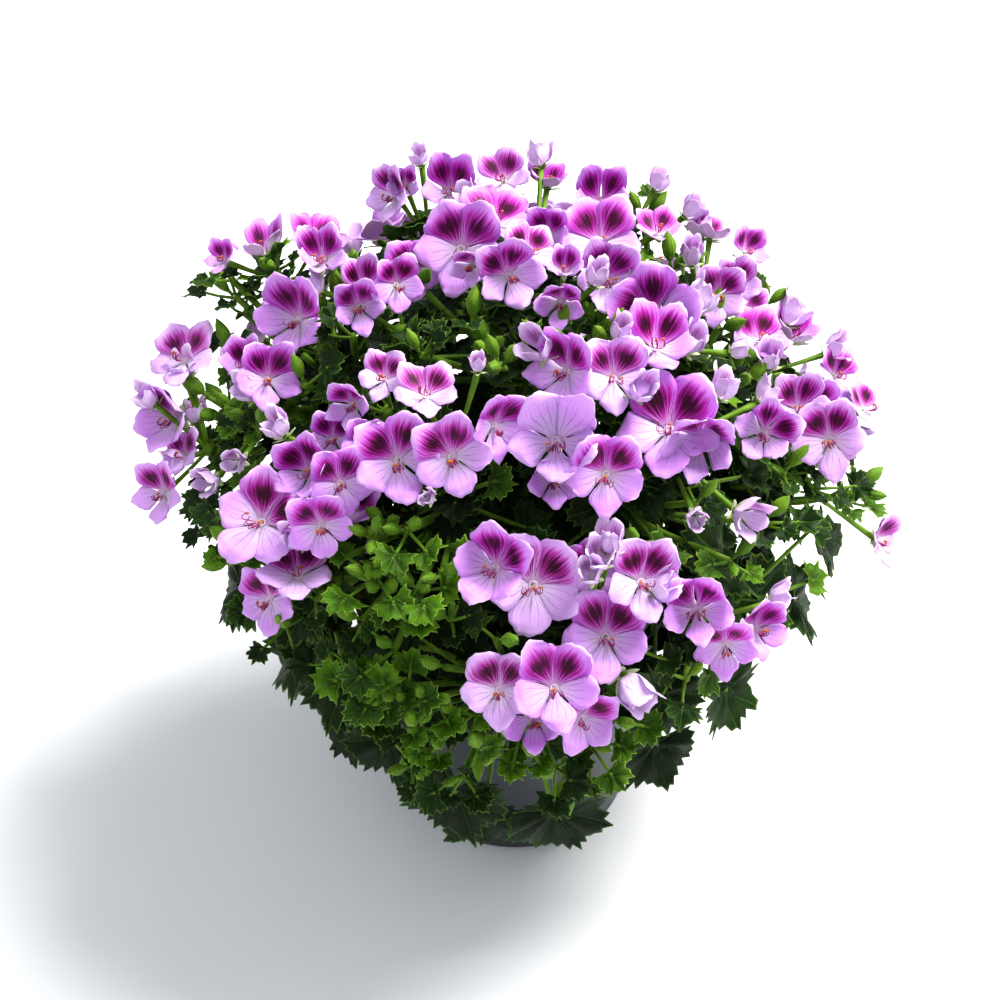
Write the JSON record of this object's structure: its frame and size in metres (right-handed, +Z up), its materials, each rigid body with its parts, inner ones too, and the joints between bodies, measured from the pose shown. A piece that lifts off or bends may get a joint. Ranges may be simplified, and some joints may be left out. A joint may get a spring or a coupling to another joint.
{
  "type": "potted flowering plant",
  "caption": "Angel pelargonium in a tapered plastic pot: a dense dome of toothed leaves covered with heads of two-tone pink and maroon flowers",
  "frame": {"origin": "centre of the flat pad of the pot's underside, on the level that the pot stands on", "axes": "+Z is up, -Y points to the side the picture was taken from, and +X is to that viewer's right"},
  "size_m": [0.2768, 0.2674, 0.2643],
  "materials": {
    "pot": "satin",
    "soil": "matte",
    "bark": "matte",
    "leaves": "matte",
    "petals": "matte"
  },
  "bodies": {
    "root": {"crown": "bark", "flower_head_01": "petals", "flower_head_02": "petals", "flower_head_03": "petals", "flower_head_04": "petals", "flower_head_05": "petals", "flower_head_06": "petals", "flower_head_07": "petals", "flower_head_08": "petals", "flower_head_09": "petals", "flower_head_10": "petals", "flower_head_11": "petals", "flower_head_12": "petals", "flower_head_13": "petals", "flower_head_14": "petals", "flower_head_15": "petals", "flower_head_16": "petals", "flower_head_17": "petals", "flower_head_18": "petals", "flower_head_19": "petals", "flower_head_20": "petals", "flower_head_21": "petals", "flower_head_22": "petals", "flower_head_23": "petals", "flower_head_24": "petals", "flower_head_25": "petals", "flower_head_26": "petals", "flower_head_27": "petals", "flower_head_28": "petals", "flower_head_29": "petals", "flower_head_30": "petals", "flower_head_31": "petals", "flower_head_32": "petals", "flower_head_33": "petals", "flower_head_34": "petals", "flower_head_35": "petals", "flower_head_36": "petals", "flower_head_37": "petals", "leafy_stem_01": "leaves", "leafy_stem_02": "leaves", "leafy_stem_03": "leaves", "leafy_stem_04": "leaves", "leafy_stem_05": "leaves", "leafy_stem_06": "leaves", "leafy_stem_07": "leaves", "leafy_stem_08": "leaves", "leafy_stem_09": "leaves", "leafy_stem_10": "leaves", "leafy_stem_11": "leaves", "leafy_stem_12": "leaves", "pot": "pot", "soil": "soil"}
  },
  "joints": []
}
